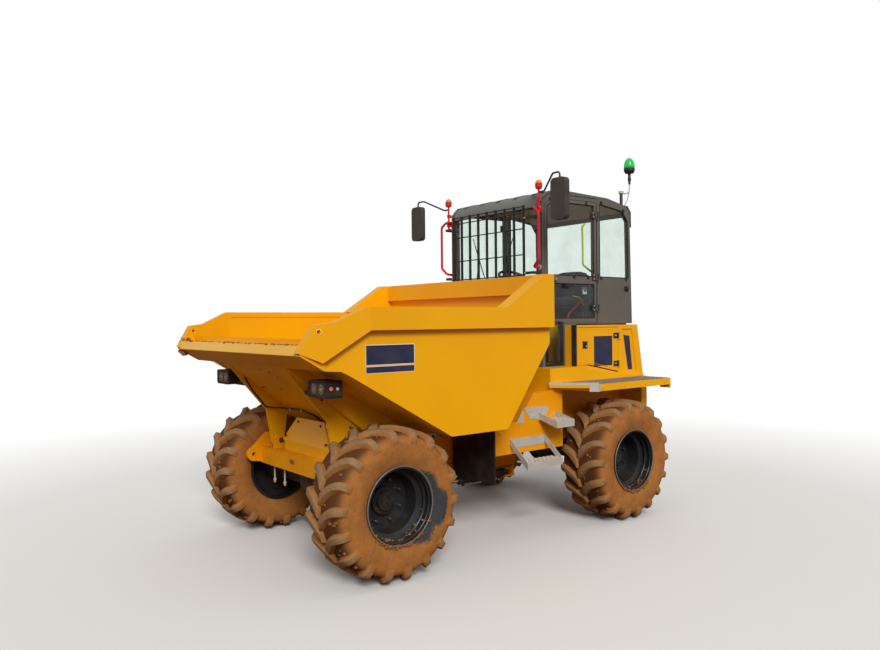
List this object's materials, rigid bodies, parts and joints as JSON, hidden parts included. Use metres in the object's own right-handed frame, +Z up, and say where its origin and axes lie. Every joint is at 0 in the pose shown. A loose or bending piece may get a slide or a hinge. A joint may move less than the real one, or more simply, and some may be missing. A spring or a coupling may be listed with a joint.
{
  "type": "site dumper",
  "caption": "Pivot steered site dumper with a forward tipping skip, a glazed cab over the engine and lugged tyres.",
  "frame": {"origin": "on the ground under the middle of the machine, halfway between the skip's lip and the tow hitch", "axes": "+X to the machine's left, +Y to its rear (the skip faces -Y), +Z up"},
  "size_m": [2.6, 4.39, 3.72],
  "materials": {
    "yellow_paint": "gloss",
    "grey_paint": "satin",
    "black_paint": "satin",
    "tyre_rubber": "matt",
    "rim_paint": "satin",
    "ram_paint": "satin",
    "ram_chrome": "polished",
    "glass": "clear",
    "zinc": "satin",
    "black_plastic": "matt",
    "seat_cloth": "matt",
    "red_paint": "gloss",
    "green_lens": "gloss",
    "amber_lens": "gloss",
    "engine_iron": "matt",
    "flap_rubber": "matt",
    "pin_steel": "satin"
  },
  "bodies": {
    "rear": {"rear_frame": "yellow_paint", "steer_pin": "pin_steel", "side_tanks": "yellow_paint", "counterweight": "yellow_paint", "platform": "yellow_paint", "decks": "yellow_paint", "steps": "zinc", "mudflaps": "flap_rubber", "engine_block": "engine_iron", "engine_cover": "yellow_paint", "cab_frame": "grey_paint", "cab_roof": "grey_paint", "windscreen": "glass", "cab_glass": "glass", "windscreen_guard": "grey_paint", "grab_rails": "red_paint", "mirrors": "black_plastic", "corner_lamps": "amber_lens", "beacon": "green_lens", "seat": "seat_cloth", "control_console": "black_plastic", "steering_wheel": "black_plastic", "rear_axle": "black_paint"},
    "front": {"front_frame": "yellow_paint", "front_axle": "black_paint", "sign_plate": "yellow_paint"},
    "skip": {"skip": "yellow_paint", "headlamps": "black_plastic", "tip_pins": "pin_steel"},
    "cab_door_left": {"cab_door_left": "grey_paint", "door_glass_left": "glass"},
    "cab_door_right": {"cab_door_right": "grey_paint", "door_glass_right": "glass"},
    "access_door_left": {"access_door_left": "yellow_paint"},
    "access_door_right": {"access_door_right": "yellow_paint"},
    "tip_ram_barrel": {"tip_ram_barrel": "ram_paint"},
    "tip_ram_rod": {"tip_ram_rod": "ram_chrome"},
    "steer_ram_barrel": {"steer_ram_barrel": "ram_paint"},
    "steer_ram_rod": {"steer_ram_rod": "ram_chrome"},
    "wheel_front_left": {"tyre_front_left": "tyre_rubber", "rim_front_left": "rim_paint"},
    "wheel_front_right": {"tyre_front_right": "tyre_rubber", "rim_front_right": "rim_paint"},
    "wheel_rear_left": {"tyre_rear_left": "tyre_rubber", "rim_rear_left": "rim_paint"},
    "wheel_rear_right": {"tyre_rear_right": "tyre_rubber", "rim_rear_right": "rim_paint"}
  },
  "joints": [
    {"name": "steering", "type": "hinge", "parent": "rear", "child": "front", "pos_m": [0, 0.025, 0.7], "axis": [0, 0, 1], "range_deg": [-30, 30]},
    {"name": "skip_tip", "type": "hinge", "parent": "front", "child": "skip", "pos_m": [0, -1.5, 0.89], "axis": [1, 0, 0], "range_deg": [0, 60]},
    {"name": "roll_front_left", "type": "hinge", "parent": "front", "child": "wheel_front_left", "pos_m": [0.99, -1.367, 0.585], "axis": [1, 0, 0], "continuous": true},
    {"name": "roll_front_right", "type": "hinge", "parent": "front", "child": "wheel_front_right", "pos_m": [-0.99, -1.367, 0.585], "axis": [1, 0, 0], "continuous": true},
    {"name": "roll_rear_left", "type": "hinge", "parent": "rear", "child": "wheel_rear_left", "pos_m": [0.99, 1.418, 0.585], "axis": [1, 0, 0], "continuous": true},
    {"name": "roll_rear_right", "type": "hinge", "parent": "rear", "child": "wheel_rear_right", "pos_m": [-0.99, 1.418, 0.585], "axis": [1, 0, 0], "continuous": true},
    {"name": "cab_door_left", "type": "hinge", "parent": "rear", "child": "cab_door_left", "pos_m": [0.698, 1.525, 2.4], "axis": [0, 0, 1], "range_deg": [0, 100]},
    {"name": "access_door_left", "type": "hinge", "parent": "rear", "child": "access_door_left", "pos_m": [0.828, 1.68, 1.65], "axis": [0, 0, 1], "range_deg": [0, 110]},
    {"name": "cab_door_right", "type": "hinge", "parent": "rear", "child": "cab_door_right", "pos_m": [-0.698, 1.525, 2.4], "axis": [0, 0, -1], "range_deg": [0, 100]},
    {"name": "access_door_right", "type": "hinge", "parent": "rear", "child": "access_door_right", "pos_m": [-0.828, 1.68, 1.65], "axis": [0, 0, -1], "range_deg": [0, 110]},
    {"name": "tip_ram_swing", "type": "hinge", "parent": "front", "child": "tip_ram_barrel", "pos_m": [0, -0.45, 0.47], "axis": [1, 0, 0], "range_deg": [-6, 1]},
    {"name": "tip_ram_extend", "type": "slide", "parent": "tip_ram_barrel", "child": "tip_ram_rod", "axis": [0, -0.8372, 0.5469], "range_m": [0, 0.3]},
    {"name": "steer_ram_swing", "type": "hinge", "parent": "rear", "child": "steer_ram_barrel", "pos_m": [0.3, 0.56, 0.45], "axis": [0, 0, 1], "range_deg": [-15, 15]},
    {"name": "steer_ram_extend", "type": "slide", "parent": "steer_ram_barrel", "child": "steer_ram_rod", "axis": [0.0408, -0.9992, 0], "range_m": [-0.175, 0.175]}
  ],
  "couplings": [
    {"joint": "tip_ram_swing", "follows": "skip_tip", "ratio": -0.0837},
    {"joint": "tip_ram_extend", "follows": "skip_tip", "m_per_rad": 0.2804},
    {"joint": "steer_ram_swing", "follows": "steering", "ratio": 0.466},
    {"joint": "steer_ram_extend", "follows": "steering", "m_per_rad": -0.318}
  ]
}
